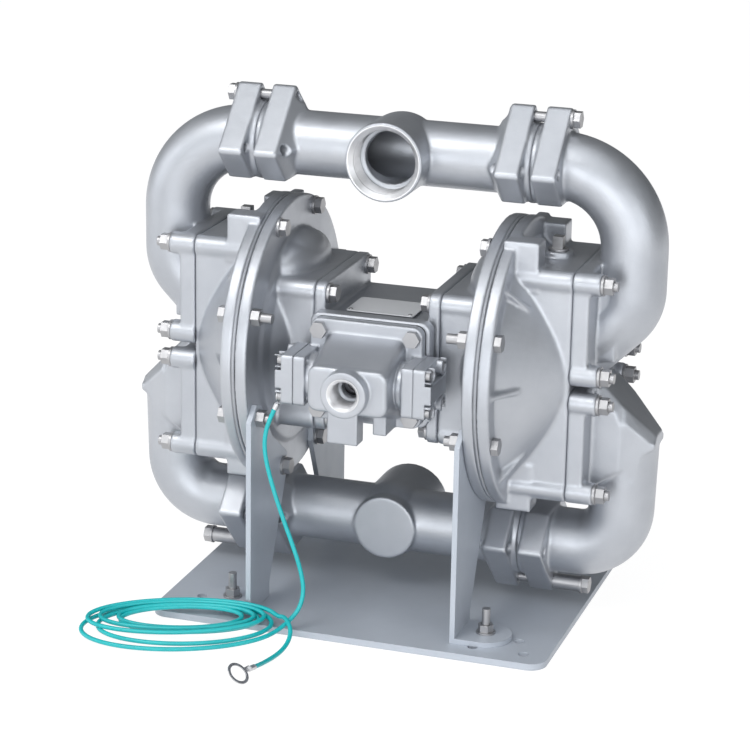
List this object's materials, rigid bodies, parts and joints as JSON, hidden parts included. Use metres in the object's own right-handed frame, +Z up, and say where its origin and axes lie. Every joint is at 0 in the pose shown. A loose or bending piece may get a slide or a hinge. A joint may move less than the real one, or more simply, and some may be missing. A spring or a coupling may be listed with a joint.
{
  "type": "air operated diaphragm pump",
  "caption": "Air operated double diaphragm pump with flap valves in cast aluminium, on a legged floor plate, with a coiled ground cable.",
  "frame": {"origin": "centre of the floor plate's underside", "axes": "+Z up; +X along the manifolds, towards the right-hand chamber seen from the air valve; -Y towards the air inlet"},
  "size_m": [0.513, 0.4338, 0.4855],
  "materials": {
    "cast_aluminium": "bead-blasted casting",
    "machined_aluminium": "machined, satin",
    "painted_grey": "satin grey paint",
    "zinc_steel": "zinc plated",
    "stainless_steel": "turned, smooth",
    "bronze": "turned, satin",
    "rubber": "matte",
    "plastic": "matte",
    "cable_green": "smooth cable sheath, blue-green",
    "tinned_copper": "tinned"
  },
  "bodies": {
    "pump_frame": {"base_plate": "painted_grey", "foot_studs": "zinc_steel", "foot_washers": "zinc_steel", "foot_nuts": "zinc_steel", "leg_front_left": "painted_grey", "leg_front_right": "painted_grey", "leg_rear_left": "painted_grey", "leg_rear_right": "painted_grey", "inner_chamber_left": "cast_aluminium", "inner_chamber_right": "cast_aluminium", "outer_chamber_left": "cast_aluminium", "outer_chamber_right": "cast_aluminium", "rim_bolts": "zinc_steel", "rim_nuts": "zinc_steel", "lug_screws": "zinc_steel", "diaphragm_left": "rubber", "diaphragm_right": "rubber", "bushings": "bronze", "centre_bracket": "cast_aluminium", "bracket_capscrews": "zinc_steel", "valve_seats": "machined_aluminium", "flap_pins": "stainless_steel", "elbow_upper_left": "cast_aluminium", "elbow_upper_right": "cast_aluminium", "elbow_lower_left": "cast_aluminium", "elbow_lower_right": "cast_aluminium", "elbow_studs": "zinc_steel", "elbow_washers": "zinc_steel", "elbow_nuts": "zinc_steel", "upper_manifold": "cast_aluminium", "lower_manifold": "cast_aluminium", "manifold_orings": "rubber", "joint_bolts": "zinc_steel", "long_joint_bolts": "zinc_steel", "spacer_sleeves": "zinc_steel", "pipe_plugs": "zinc_steel", "air_valve_body": "cast_aluminium", "valve_gasket": "rubber", "valve_bolts": "zinc_steel", "valve_sleeve": "stainless_steel", "bumpers": "rubber", "end_cap_left": "cast_aluminium", "end_cap_right": "cast_aluminium", "end_cap_screws": "zinc_steel", "ground_terminal_upper": "tinned_copper", "ground_cable_drop": "cable_green", "ground_cable_coil": "cable_green", "ground_cable_tail": "cable_green", "ground_terminal_loose": "tinned_copper"},
    "rod_assembly": {"diaphragm_rod": "stainless_steel", "inner_plates": "machined_aluminium", "outer_plates": "cast_aluminium", "rod_nuts": "zinc_steel"},
    "main_spool": {"main_spool": "machined_aluminium"},
    "pilot_valve": {"pilot_spool": "stainless_steel", "plungers": "stainless_steel"},
    "flap_upper_left": {"flap_upper_left": "rubber"},
    "flap_upper_right": {"flap_upper_right": "rubber"},
    "flap_lower_left": {"flap_lower_left": "rubber"},
    "flap_lower_right": {"flap_lower_right": "rubber"}
  },
  "joints": [
    {"name": "rod_slide", "type": "slide", "parent": "pump_frame", "child": "rod_assembly", "axis": [1, 0, 0], "range_m": [-0.015, 0.015], "deforming": ["diaphragm_left", "diaphragm_right"]},
    {"name": "main_spool_slide", "type": "slide", "parent": "pump_frame", "child": "main_spool", "axis": [1, 0, 0], "range_m": [-0.008, 0.008]},
    {"name": "pilot_slide", "type": "slide", "parent": "pump_frame", "child": "pilot_valve", "axis": [1, 0, 0], "range_m": [-0.003, 0.003]},
    {"name": "flap_upper_right_hinge", "type": "hinge", "parent": "pump_frame", "child": "flap_upper_right", "pos_m": [0.1782, 0, 0.3235], "axis": [0, 1, 0], "range_deg": [0, 35]},
    {"name": "flap_upper_left_hinge", "type": "hinge", "parent": "pump_frame", "child": "flap_upper_left", "pos_m": [-0.1782, 0, 0.3235], "axis": [0, -1, 0], "range_deg": [0, 35]},
    {"name": "flap_lower_right_hinge", "type": "hinge", "parent": "pump_frame", "child": "flap_lower_right", "pos_m": [0.1878, 0, 0.21], "axis": [0, -1, 0], "range_deg": [0, 35]},
    {"name": "flap_lower_left_hinge", "type": "hinge", "parent": "pump_frame", "child": "flap_lower_left", "pos_m": [-0.1878, 0, 0.21], "axis": [0, 1, 0], "range_deg": [0, 35]}
  ]
}
